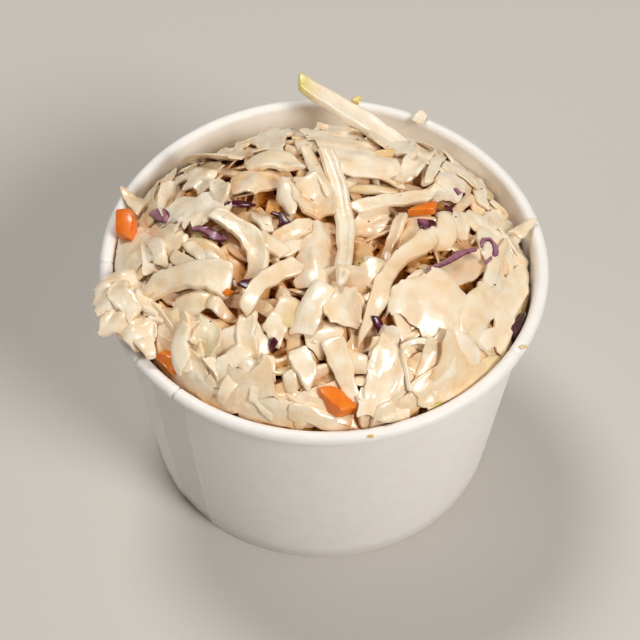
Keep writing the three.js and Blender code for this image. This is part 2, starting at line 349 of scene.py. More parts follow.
def heap_surface(x, y):
    """Where the top of the heap comes to, by the CAD's own rule for it."""
    share = np.minimum(np.hypot(x, y) / 45.1, 1)
    fuller = (1 + np.cos(np.arctan2(y, x) - FULLEST_SIDE)) / 2
    edge = EDGE_LOW + (EDGE_HIGH - EDGE_LOW) * fuller
    swell = sum(rise * np.exp(-((x - cx) ** 2 + (y - cy) ** 2) / (2 * spread ** 2))
                for cx, cy, rise, spread in SWELLS)
    facing = np.maximum(0, np.cos(np.arctan2(y, x) - TROUGH_SIDE)) ** 4
    trough = TROUGH_DEPTH * facing * np.clip((share - TROUGH_START + 0.12) / 0.12, 0, 1)
    return CUP_HEIGHT + edge + (DOME - edge) * (1 - share ** SHOULDER) - trough + swell * (1 - share ** 4)


axis_mm = np.linspace(-SPAN, SPAN, COUNT)
grid_x, grid_y = np.meshgrid(axis_mm, axis_mm, indexing="ij")
grid_r = np.hypot(grid_x, grid_y)
wanted = heap_surface(grid_x, grid_y)
CORE_DEPTH = 8.5
ground = np.where(grid_r < 45.1, wanted - CORE_DEPTH, np.where(grid_r < RIM_RADIUS, CUP_HEIGHT, 0.0))


def cells(x, y):
    i = np.clip(np.rint((x + SPAN) / PITCH).astype(int), 0, COUNT - 1)
    j = np.clip(np.rint((y + SPAN) / PITCH).astype(int), 0, COUNT - 1)
    return i, j


def smooth_path(points, count):
    """Catmull-Rom through the points, evenly spaced along its length."""
    points = np.asarray(points, float)
    ends = np.vstack([2 * points[0] - points[1], points, 2 * points[-1] - points[-2]])
    rows = []
    for k in range(len(points) - 1):
        a, b, c, d = ends[k:k + 4]
        t = np.linspace(0, 1, 12, endpoint=False)[:, None]
        rows.append(0.5 * (2 * b + (c - a) * t + (2 * a - 5 * b + 4 * c - d) * t ** 2
                           + (3 * b - a - 3 * c + d) * t ** 3))
    rows.append(points[-1][None])
    dense = np.vstack(rows)
    step = np.r_[0, np.cumsum(np.hypot(*np.diff(dense[:, :2], axis=0).T))]
    even = np.linspace(0, step[-1], count)
    return np.stack([np.interp(even, step, dense[:, k]) for k in range(dense.shape[1])], 1), step[-1]


def bar_form(cuts, columns, bevels, ease):
    """A shred's form: a long bar with slightly eased edges, from -1 to 1 along x, y and z."""
    bm = bmesh.new()
    bmesh.ops.create_cube(bm, size=2)
    bmesh.ops.scale(bm, vec=(8, 1, 1), verts=bm.verts)
    long_edges = [e for e in bm.edges if abs(e.verts[0].co.x - e.verts[1].co.x) > 1]
    bmesh.ops.subdivide_edges(bm, edges=long_edges, cuts=cuts, use_grid_fill=True)
    for column in columns:
        whole = list(bm.verts) + list(bm.edges) + list(bm.faces)
        bmesh.ops.bisect_plane(bm, geom=whole, dist=1e-6, plane_co=(0, column, 0), plane_no=(0, 1, 0))
    sharp = [e for e in bm.edges if e.calc_face_angle(0) > 1]
    bmesh.ops.bevel(bm, geom=sharp, affect="EDGES", offset=ease, segments=bevels, profile=0.5, material=-1)
    bmesh.ops.scale(bm, vec=(0.125, 1, 1), verts=bm.verts)
    bmesh.ops.recalc_face_normals(bm, faces=bm.faces)
    return form_of(bm)


def sheet_form(along, across):
    """A leaf's form: a thin sheet from -1 to 1 along x and y, and -1 to 1 through its thickness."""
    bm = bmesh.new()
    bmesh.ops.create_grid(bm, x_segments=along, y_segments=across, size=1)
    bmesh.ops.solidify(bm, geom=list(bm.faces), thickness=2)
    middle = sum(v.co.z for v in bm.verts) / len(bm.verts)
    bmesh.ops.translate(bm, vec=(0, 0, -middle), verts=bm.verts)
    bmesh.ops.recalc_face_normals(bm, faces=bm.faces)
    return form_of(bm)


def form_of(bm):
    mesh = bpy.data.meshes.new("form")
    bm.to_mesh(mesh)
    bm.free()
    place = np.empty(len(mesh.vertices) * 3)
    mesh.vertices.foreach_get("co", place)
    return mesh, place.reshape(-1, 3)


FORMS = {
    "fine_bar": bar_form(16, (-0.5, 0, 0.5), 2, 0.34),
    "bar": bar_form(8, (0,), 1, 0.34),
    "short_bar": bar_form(3, (), 1, 0.25),
    "block": bar_form(8, (0,), 1, 0.1),
    "fine_sheet": sheet_form(34, 16),
    "sheet": sheet_form(13, 6),
}

# Laid pieces wait here by kind until they are joined: (form mesh, places in mm, shade colours).
laid = {}


def pick(table, rows, columns):
    """Values of a grid at fractional places."""
    i = np.clip(np.floor(rows).astype(int), 0, table.shape[0] - 2)
    j = np.clip(np.floor(columns).astype(int), 0, table.shape[1] - 2)
    fi = (rows - i)[:, None]
    fj = (columns - j)[:, None]
    return ((table[i, j] * (1 - fi) + table[i + 1, j] * fi) * (1 - fj)
            + (table[i, j + 1] * (1 - fi) + table[i + 1, j + 1] * fi) * fj)


def stiff(u, v, height, order):
    """The smooth surface nearest to the bumps under a piece: cabbage is too stiff to follow each one."""
    uu, vv = np.meshgrid(u, v, indexing="ij")
    terms = [uu ** k for k in range(order + 1)] + [vv, uu * vv, vv ** 2]
    table = np.stack([t.ravel() for t in terms], 1)
    fit = np.linalg.lstsq(table, height.ravel(), rcond=None)[0]
    return (table @ fit).reshape(height.shape)


def edge_noise(steps, ragged):
    """How far one edge of a piece runs in or out along its length: slow waves, and small nicks from the knife."""
    waves = chance.uniform(0, math.tau, 2)
    nicks = np.interp(steps, np.arange(0, steps[-1] + 1.4, 0.7), chance.normal(0, 1, int((steps[-1] + 1.4) / 0.7) + 1)[
        :len(np.arange(0, steps[-1] + 1.4, 0.7))])
    return 1 + ragged * (0.5 * np.sin(steps / 1.5 + waves[0]) + 0.8 * np.sin(steps / 3.4 + waves[1]) + 0.45 * nicks)


def lay(kind, form, path, width, thick, tint=0.5, green=0.0, green_from=-0.7, level=0.0, tilt=0.0, tuck=(0, 0), roll=0.0,
        twist=0.0, curl=0.0, ruffle=0.0, fold=0.0, crumple=0.0, vein=0.0, ragged=0.12, point=(0.8, 0.8), cut=(0.3, 0.3),
        tear=0.15, room=1.6, bend=3):
    """Lays one piece on the heap. The path is (x, y), or (x, y, height) where it hangs free; width is one number
    or one per path point. Level is how far over the heap's own surface it belongs, and room how far it may stray
    from there. Roll stands it on its edge, twist turns it along its length, curl cups it, fold creases it along
    its middle, ruffle waves its edges, point narrows its ends, cut slants and tear
    frays them, and tuck sinks them."""
    sheet = "sheet" in form
    path = np.asarray(path, float)
    rough = np.hypot(*np.diff(path[:, :2], axis=0).T).sum()
    count = max(8, int(rough / 0.6))
    line, length = smooth_path(path, count)
    across = 17 if sheet else 7
    u = np.linspace(-1, 1, count)
    v = np.linspace(-1, 1, across)
    known = np.linspace(-1, 1, len(path))
    half = np.interp(u, known, np.broadcast_to(np.asarray(width, float), len(path)) / 2)
    nose = 1 - np.abs(u) ** 9
    half = half * np.where(u < 0, point[0] + (1 - point[0]) * nose, point[1] + (1 - point[1]) * nose)
    steps = (u + 1) * length / 2
    edge = [edge_noise(steps, ragged) for _ in range(2)]
    reach = np.where(v[None] < 0, edge[0][:, None], edge[1][:, None]) * half[:, None] * v[None]
    ahead = np.gradient(line[:, :2], axis=0)
    ahead /= np.linalg.norm(ahead, axis=1)[:, None]
    side = np.stack([-ahead[:, 1], ahead[:, 0]], 1)
    turn = np.radians(roll + twist * u)
    flat = reach * np.cos(turn)[:, None]
    x = line[:, :1] + side[:, :1] * flat
    y = line[:, 1:2] + side[:, 1:] * flat
    upright = np.abs(np.sin(turn))
    if path.shape[1] == 3:
        z = np.repeat(line[:, 2:], across, 1)
    else:
        support = ground[cells(x, y)]
        z = stiff(u, v, support, bend)
        z = z + np.percentile(support - z, 85)
        z = z + (thick / 2 * (1 - upright) + 0.5 * half * upright)[:, None]
        home = heap_surface(x, y) + level
        z = home + room * np.tanh((z - home) / room)
    z = z + reach * np.sin(turn)[:, None] + tilt * u[:, None]
    z = z + curl * (v[None] ** 2 - 0.3) * half[:, None] - fold * (np.abs(v[None]) - 0.4) * half[:, None]
    z = z - tuck[0] * np.clip(-u, 0, 1)[:, None] ** 2.5 - tuck[1] * np.clip(u, 0, 1)[:, None] ** 2.5
    if ruffle:
        beat = steps[:, None] / chance.uniform(1.0, 1.8) + chance.uniform(0, math.tau)
        swing = np.where(v[None] < 0, np.sin(beat), np.sin(beat * 1.23 + 2))
        z = z + ruffle * np.abs(v[None]) ** 2.2 * swing
    if crumple:
        for size in (6.5, 4.2):
            a, b, c = chance.uniform(0, math.tau, 3)
            z = z + crumple * size / 9 * np.sin(
                (steps[:, None] * math.cos(a) + reach * math.sin(a)) * math.tau / size + b) * np.cos(reach / size * 3 + c)
    radius = np.hypot(x, y)
    allowed = np.where(z < CUP_HEIGHT + 0.8, inside_radius(z) - 0.35 - thick / 2, 99.0)
    if path.shape[1] == 3:
        allowed = np.where(radius > 46.5, 99.0, allowed)
    pull = np.minimum(1, allowed / np.maximum(radius, 1e-6))
    x, y = x * pull, y * pull
    place = np.stack([x, y, z], 2)
    along = np.gradient(place, axis=0)
    over = np.gradient(place, axis=1)
    normal = np.cross(along, over)
    normal /= np.maximum(np.linalg.norm(normal, axis=2, keepdims=True), 1e-9)
    mesh, form_place = FORMS[form]
    fu, fv, fw = form_place.T
    short = 2 * half.max() / max(length, 1) * (count - 1)
    teeth = np.linspace(-1, 1, 9 if sheet else 4)
    torn = [np.interp(fv, teeth, chance.random(len(teeth))) * tear for _ in range(2)]
    first = short * (abs(cut[0]) * (0.5 + 0.5 * fv * np.sign(cut[0])) + torn[0])
    last = count - 1 - short * (abs(cut[1]) * (0.5 + 0.5 * fv * np.sign(cut[1])) + torn[1])
    rows = first + (fu + 1) / 2 * (last - first)
    columns = (fv + 1) / 2 * (across - 1)
    thin = 1 - (0.5 * np.abs(fv) ** 6 if sheet else 0.12 * np.abs(fv) ** 2) - 0.2 * np.abs(fu) ** 8
    thin = thin + vein * np.exp(-(fv / 0.14) ** 2) * (1 - 0.4 * fu)
    points = pick(place, rows, columns) + pick(normal, rows, columns) * (fw * thin * thick / 2)[:, None]
    shade = np.ones((len(points), 4))
    shade[:, 0] = tint ** 1.4
    shade[:, 1] = abs(green) * np.clip((fu * np.sign(green) - green_from) / (1 - green_from), 0, 1) if green else 0
    sunk = heap_surface(points[:, 0], points[:, 1]) - points[:, 2]
    if kind == "red":
        shade[:, 0] += 0.9 * np.abs(fv) ** 3
    # Blue is painted shade: the deeper a point lies under the heap's surface, the more amber it gets, along with pooled
    # dressing.
    shade[:, 2] = np.clip((sunk + 0.5) / 4.4, 0, 0.95)
    grain = np.stack([(fu + 1) / 2 * length, fv * half.max() * 3, np.full(len(fu), chance.uniform(0, 500))], 1)
    laid.setdefault(kind, []).append((mesh, points, shade, grain))
    fine_u = np.linspace(0, count - 1, int(length / 0.3) + 2)
    fine_v = np.linspace(0, across - 1, max(3, int(2 * half.max() / 0.3) + 2))
    uu, vv = [g.ravel() for g in np.meshgrid(fine_u, fine_v, indexing="ij")]
    top = pick(place, uu, vv)
    np.maximum.at(ground, cells(top[:, 0], top[:, 1]), top[:, 2] + thick * 0.4)


def join(kind, name, material, replaces=()):
    """All laid pieces of a kind become one piece."""
    bm = bmesh.new()
    for mesh, _, _, _ in laid[kind]:
        bm.from_mesh(mesh)
    points, shades, grains = (np.concatenate([row[k] for row in laid[kind]]) for k in (1, 2, 3))
    piece = finished(name, bm, material, replaces)
    piece.data.vertices.foreach_set("co", (points * MM).ravel())
    layer = piece.data.color_attributes.new("shade", "FLOAT_COLOR", "POINT")
    layer.data.foreach_set("color", shades.ravel())
    layer = piece.data.attributes.new("grain", "FLOAT_VECTOR", "POINT")
    layer.data.foreach_set("vector", grains.ravel())
    piece.data.update()
    piece.data.set_sharp_from_angle(angle=math.radians(62))
    flat = piece.modifiers.new("flat_faces", "WEIGHTED_NORMAL")
    flat.weight = 60
    flat.keep_sharp = True
    return piece


def make_core():
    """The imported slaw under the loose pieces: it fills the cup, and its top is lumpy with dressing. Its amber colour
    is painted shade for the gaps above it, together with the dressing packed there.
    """
    rings = list(np.linspace(0, 1, 46))
    floor_z = BASE_LIFT + BOARD + GAP
    bm = spun([(0, floor_z), (1, floor_z)] + [(s, 1 + floor_z) for s in reversed(rings)], 150)
    spots = chance.uniform(-45, 45, (420, 2))
    sizes = chance.uniform(1.2, 3.2, 420)
    lifts = chance.uniform(0.3, 1.6, 420)
    place = np.array([v.co for v in bm.verts]) / MM
    share = np.hypot(place[:, 0], place[:, 1])
    turn = np.arctan2(place[:, 1], place[:, 0])
    x, y = share * 44.6 * np.cos(turn), share * 44.6 * np.sin(turn)
    lumps = np.zeros(len(place))
    for (cx, cy), size, rise in zip(spots, sizes, lifts):
        lumps += rise * np.exp(-((x - cx) ** 2 + (y - cy) ** 2) / (2 * size ** 2))
    top = heap_surface(x, y) - CORE_DEPTH + np.minimum(lumps, 3) - 0.6
    z = np.where(place[:, 2] > floor_z + 0.5, top, floor_z)
    radius = share * (inside_radius(z) - 0.4)
    for vert, r, a, h in zip(bm.verts, radius, turn, z):
        vert.co = (r * MM * math.cos(a), r * MM * math.sin(a), h * MM)
    core = finished("packed_slaw", bm, MASH, ["slaw_heap"])
    layer = core.data.color_attributes.new("shade", "FLOAT_COLOR", "POINT")
    layer.data.foreach_set("color", [0.4, 0.0, 0.0, 1.0] * len(core.data.vertices))


# Pockets left open among the top pieces: place, how deep, how wide.
HOLLOWS = ((10, -5, 4, 5), (-9, -13, 3.5, 4), (15, -15, 3.5, 4), (-16, 2, 3, 4), (29, -11, 3.5, 4),
           (-19, -20, 3, 4), (6, -31, 2.5, 3), (-24, 2, 2.5, 3), (22, 11, 3, 3))


def hollow(x, y):
    return sum(deep * math.exp(-((x - cx) ** 2 + (y - cy) ** 2) / (2 * wide ** 2)) for cx, cy, deep, wide in HOLLOWS)


def random_piece(kind, form, long, wide, thick, bend, target, inner, **more):
    """One piece dropped where the heap is lowest of a few tried places."""
    best = None
    for _ in range(8):
        spot = chance.uniform(-43, 43, 2)
        reach = math.hypot(*spot)
        if not inner < reach < 43:
            continue
        level = target + 1.9 * min(max((reach - 32) / 8, 0), 1) - hollow(*spot)
        short = ground[cells(spot[0], spot[1])] - heap_surface(*spot) - level
        if best is None or short < best[0]:
            best = (short, spot, reach, level)
    if best is None or best[0] > 0:
        return
    short, spot, reach, level = best
    heading = chance.uniform(0, math.tau)
    if reach > 34:
        heading = math.atan2(spot[1], spot[0]) + math.pi / 2 + chance.normal(0, 0.45)
    place = spot - long / 2 * np.array([math.cos(heading), math.sin(heading)])
    points = []
    for _ in range(4):
        points.append(place.copy())
        place = place + long / 3 * np.array([math.cos(heading), math.sin(heading)])
        heading += chance.normal(0, bend)
    points = np.array(points)
    points *= np.minimum(1, 43.2 / np.hypot(points[:, 0], points[:, 1]))[:, None]
    lay(kind, form, points, wide, thick, level=level + 0.8, room=1.2, **more)


def scatter():
    """The slaw that nobody placed: short thick bits first, then shreds and leaf scraps."""
    # Each layer's tint is lower the deeper it lies: painted shade, so the lower layers come out darker and more amber.
    for target, tries, painted_shade_tint, inner, broad in (
            (-7.0, 240, 0.5, 0, 1.0), (-5.6, 300, 0.6, 0, 1.0), (-4.4, 260, 0.7, 0, 1.05),
            (-3.4, 260, 0.78, 0, 1.1), (-2.6, 220, 0.82, 0, 1.15), (-3.6, 150, 0.82, 36, 1.0)):
        for _ in range(tries):
            sort = chance.random()
            looks = dict(
                tint=float(np.clip(chance.normal(painted_shade_tint, 0.08), 0, 1)), inner=inner,
                green=float(chance.random() < 0.08) * chance.uniform(0.2, 0.7), roll=chance.normal(0, 30),
                tilt=chance.normal(0, 1.1),
                cut=chance.uniform(-0.5, 0.5, 2), point=chance.uniform(0.6, 1.0, 2))
            if sort < 0.7:
                wide = chance.uniform(1.5, 2.9) * broad
                random_piece(
                    "shred", "bar", chance.uniform(11, 22) * broad, wide * chance.uniform(0.8, 1.1, 4),
                    chance.uniform(0.6, 1.3), 0.42, target, tuck=chance.uniform(0, 3.0, 2),
                    twist=chance.normal(0, 35), curl=chance.normal(0, 0.35), tear=0.06, crumple=0.3, **looks)
            elif sort < 0.78:
                random_piece(
                    "chunk", "short_bar", chance.uniform(4, 8), chance.uniform(2.2, 3.8), chance.uniform(1.0, 2.2),
                    0.25, target, ragged=0.16, **looks)
            else:
                long = chance.uniform(8, 15) * broad
                random_piece(
                    "leaf", "sheet", long, long * chance.uniform(0.32, 0.6) * chance.uniform(0.6, 1.1, 4),
                    chance.uniform(0.4, 0.7), 0.3, target, ruffle=chance.uniform(0.1, 0.6), ragged=0.14,
                    crumple=chance.uniform(0.1, 0.5), fold=chance.normal(0, 0.2), vein=chance.uniform(0, 0.8),
                    tear=0.1, **looks)


def fill_rim():
    """A ring of shreds against the wall, so that the slaw meets the rim all round."""
    for turn in np.arange(0, 360, 7.5) + chance.uniform(-3, 3, 48):
        reach, span = chance.uniform(41.6, 43.2), chance.uniform(7, 13)
        angles = np.radians(turn + np.linspace(-span, span, 4))
        path = np.stack([np.cos(angles), np.sin(angles)], 1) * (reach - chance.uniform(0, 2.5, 4)[:, None])
        lay("shred", "bar", path, chance.uniform(2, 3.4), chance.uniform(0.8, 1.4), level=chance.uniform(-3.2, -1.4),
            tint=chance.uniform(0.55, 0.9), curl=chance.normal(0, 0.3), crumple=0.3, tuck=chance.uniform(0, 1.5, 2),
            tear=0.06, cut=chance.uniform(-0.5, 0.5, 2))


# Pieces set one by one, from the lowest to the highest. Each row has the kind, the path in millimetres, its widths,
# its thickness and how it lies.
LOW_PIECES = (
    ("leaf", ((-1, 2), (-1.5, -8), (-1, -16), (0, -23)), (6, 8, 8, 5), 0.9, dict(tint=0.8, fold=0.35)),
    ("leaf", ((6.5, 0), (7, -8), (6.5, -17)), (5, 5.5, 5), 0.9, dict(tint=0.53, green=0.85)),
    ("shred", ((7, -11), (9, -12), (12, -14.5)), 4, 2, dict(tint=0.73)),
    ("shred", ((4.3, -23.5), (6, -20.3), (8.2, -23.5)), 2.8, 1.6, dict(tint=0.78)),
    ("leaf", ((20, 4), (17, -3), (13.5, -10)), (7, 6.5, 4), 0.9, dict(tint=0.51, roll=18)),
    ("shred", ((17.3, -10.5), (18.5, -13), (19.8, -16)), 2, 1.2, dict(tint=0.83)),
    ("shred", ((19, -9.5), (21, -11.5), (23, -13.5)), 2.2, 1.2, dict(tint=0.78)),
    ("shred", ((12.3, -19.3), (15, -18), (19, -18.4)), 2.6, 1.4, dict(tint=0.67)),
    ("leaf", ((-38, 23), (-37, 14), (-35.5, 5)), (5, 7, 5), 0.8, dict(tint=0.61, green=0.3, ruffle=0.4)),
    ("leaf", ((-33, 29), (-33, 21), (-30.5, 13)), (4, 6, 5), 0.8, dict(tint=0.67, ruffle=0.5)),
    ("leaf", ((-27, 38), (-25.5, 31), (-22, 25)), (3.5, 5, 6), 0.9, dict(tint=0.7)),
    ("shred", ((-20, 36), (-18, 30), (-19, 24)), 3, 1.3, dict(tint=0.67)),
    ("shred", ((-15, 37), (-14.5, 31), (-16, 25)), 2.6, 1.2, dict(tint=0.73)),
    ("leaf", ((-5, 38), (-4.5, 29), (-2.5, 19)), (5, 5.5, 4), 0.9, dict(tint=0.81, ruffle=0.3)),
    ("leaf", ((-21.5, 9), (-14.5, 9.5), (-8.5, 6.5)), (5, 7.5, 5), 1.0, dict(tint=0.7)),
    ("leaf", ((-36.5, 7), (-33, 0), (-30.5, -7)), (4, 6.5, 5), 0.9, dict(tint=0.67)),
    ("leaf", ((-31, -20), (-30, -26), (-28.5, -31)), (4, 6, 4), 0.9, dict(tint=0.64, ruffle=0.4)),
    ("leaf", ((-32, -18), (-26, -20), (-20.5, -22.3)), (5, 7.5, 4), 1.0, dict(tint=0.73, green=0.1, ruffle=0.3)),
    ("shred", ((-15, -22.5), (-15.6, -28), (-14.3, -32.5)), (3, 4, 3), 1.6, dict(tint=0.81)),
    ("leaf", ((-10, -20.5), (-7, -24), (-6.5, -28.5)), (3, 5.5, 3), 1.0, dict(tint=0.73, green=0.45, ruffle=0.6)),
    ("chunk", ((-11.5, -24.5), (-9.5, -27), (-7.5, -29.5)), 4.2, 2.2, dict(tint=0.83)),
    ("leaf", ((-1, -24), (0.5, -28), (2, -32)), (5, 7, 4), 1.0, dict(tint=0.7)),
    ("shred", ((1, -30.5), (5, -32.5), (10.3, -34)), (2.5, 3.8, 3), 2.2, dict(tint=0.64)),
    ("chunk", ((8.8, -30.8), (11, -31), (13.2, -31.3)), 4.2, 3, dict(tint=0.73)),
    ("shred", ((21, -37.2), (28, -33), (34, -28.5)), 4, 1.6, dict(tint=0.56)),
    ("shred", ((30, -31.5), (35, -27.3), (39.5, -22.5)), (2, 3, 1.5), 1.2, dict(tint=0.64, green=0.5)),
    ("chunk", ((18.5, -37.3), (20.5, -37), (22.5, -36.3)), 3, 2, dict(tint=0.67)),
    ("chunk", ((-20.3, -35.8), (-19, -37), (-17, -38.3)), 4.6, 2.6, dict(tint=0.83)),
    ("shred", ((-15.8, -36.8), (-12, -39), (-8.3, -42.3)), (4, 4.8, 4), 2.6, dict(tint=0.83)),
    ("chunk", ((-6.6, -35), (-6.3, -37), (-5.8, -39)), 3, 2, dict(tint=0.7)),
    ("shred", ((-6.5, -43), (-3.5, -42.6), (-0.6, -42)), 3, 1.4, dict(tint=0.75)),
    ("shred", ((-12.5, -33), (-10.5, -34), (-8.5, -35)), 3.2, 1.8, dict(tint=0.89)),
    ("shred", ((24.5, 6), (25.3, -0.5), (23.2, -6.5)), (3, 4.5, 3), 1.6, dict(tint=0.78)),
    ("shred", ((28, 9), (28.6, 4), (28.2, -0.5)), (3, 4, 3), 1.5, dict(tint=0.89)),
    ("leaf", ((29.5, 9), (35, 5.5), (42, 4)), (4, 6.5, 4), 1.0, dict(tint=0.86, ruffle=0.5)),
    ("shred", ((44.2, 6.5), (43, 3), (41.8, -1)), 2.6, 1.4, dict(tint=0.83)),
    ("shred", ((38.8, 15.2), (36.3, 10.5), (33.3, 6)), (2, 3.6, 3), 1.5, dict(tint=0.78)),
    ("shred", ((44, 14.5), (42.3, 10), (40, 5)), (1, 1.8, 1.4), 1.0, dict(tint=0.86)),
    ("shred", ((38.2, 29), (36.3, 24), (35, 17.5)), (4, 4.4, 2), 1.4, dict(tint=0.61, green=0.25)),
)

MIDDLE_PIECES = (
    ("shred", ((16.8, 4.5), (14.7, -1), (13, -6), (12, -10)), (2.2, 2.5, 2.4, 2.3), 1.5, dict(tint=0.73, point=(0.9, 0.95))),
    ("shred", ((24.5, 1), (19.5, -6), (14.3, -12), (12, -18), (9.5, -25), (6.4, -30.3)), (3, 4, 3.2, 3.6, 2.6, 1), 1.5, dict(tint=0.7, twist=20)),
    ("leaf", ((11.8, -21.5), (20, -17), (28, -10), (34.5, -2.5)), (2, 5, 5, 3.5), 1.0, dict(tint=0.78, curl=0.2)),
    ("leaf", ((13.5, -26.5), (19, -22.8), (26, -19), (32, -14)), (4.5, 11, 12, 7), 1.0, dict(tint=0.76, ruffle=0.4, curl=-0.15)),
    ("shred", ((44, 2), (41, -6), (38, -15), (36.3, -24.5)), (2, 4.4, 5, 2.5), 1.3, dict(tint=0.78, roll=15)),
    ("shred", ((37.3, -6), (33.3, -15), (29.8, -24), (28.5, -30)), (3.5, 5.2, 5.8, 3), 1.4, dict(tint=0.8, roll=-12)),
    ("shred", ((34.6, 9.5), (34, 2), (35.4, -6), (33.3, -13)), (3, 3.6, 3, 2), 1.4, dict(tint=0.86)),
    ("leaf", ((22.5, 42.5), (22.3, 33), (20.5, 23), (16, 11.5)), (4, 4.6, 4.5, 3), 1.1, dict(tint=0.92, ruffle=0.9, curl=0.3)),
    ("shred", ((27, 41), (25.8, 30), (23.4, 20), (21.5, 12.5)), (2.6, 2.6, 2.2, 1.5), 1.3, dict(tint=0.89)),
    ("leaf", ((30, 40), (31.5, 30), (29, 20), (25.3, 12), (24.5, 6)), (3.5, 7, 7.5, 5.5, 3), 1.0, dict(tint=0.92, ruffle=0.9)),
    ("shred", ((34.2, 31), (33.6, 21), (34.6, 11.5)), (2.6, 3.4, 2.4), 1.3, dict(tint=0.89, roll=20)),
    ("shred", ((29.3, 39), (33, 36.6), (34.8, 32)), (1.6, 2.4, 1.4), 1.2, dict(tint=0.89)),
    ("leaf", ((-0.5, 33), (4, 25), (9, 16), (11.5, 8.5)), (9, 12.5, 13.5, 9), 0.9,
     dict(tint=0.85, ruffle=0.3, level=0.9, crumple=0.3)),
    ("leaf", ((1.2, 43.5), (4, 36), (6, 27.5)), (7, 9.5, 9), 1.8, dict(tint=0.73)),
    ("leaf", ((14.5, 6), (9.5, 2.5), (6, -3)), (3, 6.5, 4), 1.0, dict(tint=0.92, ruffle=0.5)),
    ("leaf", ((-28.5, 28), (-21.5, 20.5), (-13.5, 19.5)), (8, 12, 8), 1.0, dict(tint=0.86, curl=0.35, ruffle=0.3)),
    ("leaf", ((-16.5, 32), (-12.3, 25), (-12, 17.5)), (5, 7, 5), 1.0, dict(tint=0.89, ruffle=0.4)),
    ("shred", ((-10.8, 43), (-9.7, 36), (-8, 28)), (2.4, 3.2, 2.4), 1.4, dict(tint=0.92)),
    ("chunk", ((-17.5, 14.3), (-11, 15.6), (-4.5, 12.8)), (4, 6, 3.6), 1.8, dict(tint=0.78)),
    ("leaf", ((-31.5, 18), (-26.5, 14), (-22.5, 9.5)), (6, 9.5, 6), 1.0, dict(tint=0.86, ruffle=0.5)),
    ("leaf", ((-33, 12), (-29.3, 7.5), (-27, 1.5), (-27.6, -3.5)), (6, 11, 10, 6), 1.1,
     dict(tint=1.0, ruffle=0.6, crumple=0.25, ragged=0.24, tear=0.3, curl=-0.15, level=0.6)),
    ("leaf", ((-6.5, 11), (-3, 5.5), (-1, 0)), (6, 8.5, 6), 1.0, dict(tint=0.67)),
    ("leaf", ((-43.5, 6), (-41.3, -3), (-36.5, -10)), (6, 10.5, 9), 0.9, dict(tint=0.78, ruffle=0.3)),
    ("shred", ((-31.8, -6.5), (-28, -11), (-24.6, -14.3)), 3, 1.5, dict(tint=0.78)),
    ("shred", ((-28.8, -4.5), (-26, -8.5), (-23.5, -13)), 2.6, 1.4, dict(tint=0.83)),
    ("shred", ((-24.8, -7.5), (-22.6, -11), (-19.8, -14.3)), (1, 3.4, 3), 1.2, dict(tint=1)),
    ("shred", ((-23.6, -20.8), (-20, -22.8), (-17, -24)), (3, 2.2, 0.8), 1.2, dict(tint=0.83)),
    ("shred", ((-14.8, 3.5), (-13.6, -1), (-11.2, -5.3)), (3, 3.6, 2.6), 1.6, dict(tint=0.89)),
    ("shred", ((-11.3, -7), (-7, -4.6), (-2.2, -2.4)), (3, 3.6, 2.2), 1.8, dict(tint=0.78, point=(0.9, 0.6))),
    ("shred", ((-14.2, -4.6), (-12, -8), (-7.8, -11)), (3, 3.3, 3.4), 1.9, dict(tint=0.73, point=(0.8, 0.95))),
    ("shred", ((-14.3, -30), (-18, -33), (-22.5, -34.8)), (4, 3.8, 2.8), 1.7, dict(tint=0.89)),
    ("shred", ((-16.5, -31), (-15, -34), (-13.6, -36.8)), (2, 3, 3), 1.4, dict(tint=0.95)),
    ("leaf", ((-26.5, -25.5), (-23, -28.3), (-25, -31.5)), (4, 6, 3), 1.0, dict(tint=0.73, green=0.4, ruffle=0.8)),
    ("shred", ((1, -28.5), (4, -34), (6.2, -40)), (4, 4.4, 3), 1.7, dict(tint=0.83)),
    ("leaf", ((14.6, -29), (12.6, -35), (8.8, -42.6)), (6.5, 6, 1.5), 1.1, dict(tint=0.8, curl=0.2)),
    ("leaf", ((16.5, -31.5), (21, -32), (26.5, -31)), (3, 6, 3), 0.9, dict(tint=0.64)),
    ("shred", ((21.3, -39.2), (23, -38.7), (24.7, -37.9)), 1.7, 1, dict(tint=0.56, green=1.0)),
    ("leaf", ((10, 34), (14, 28), (16, 19)), (6, 9, 6), 1.0, dict(tint=0.85, level=0.7, crumple=0.25)),
)

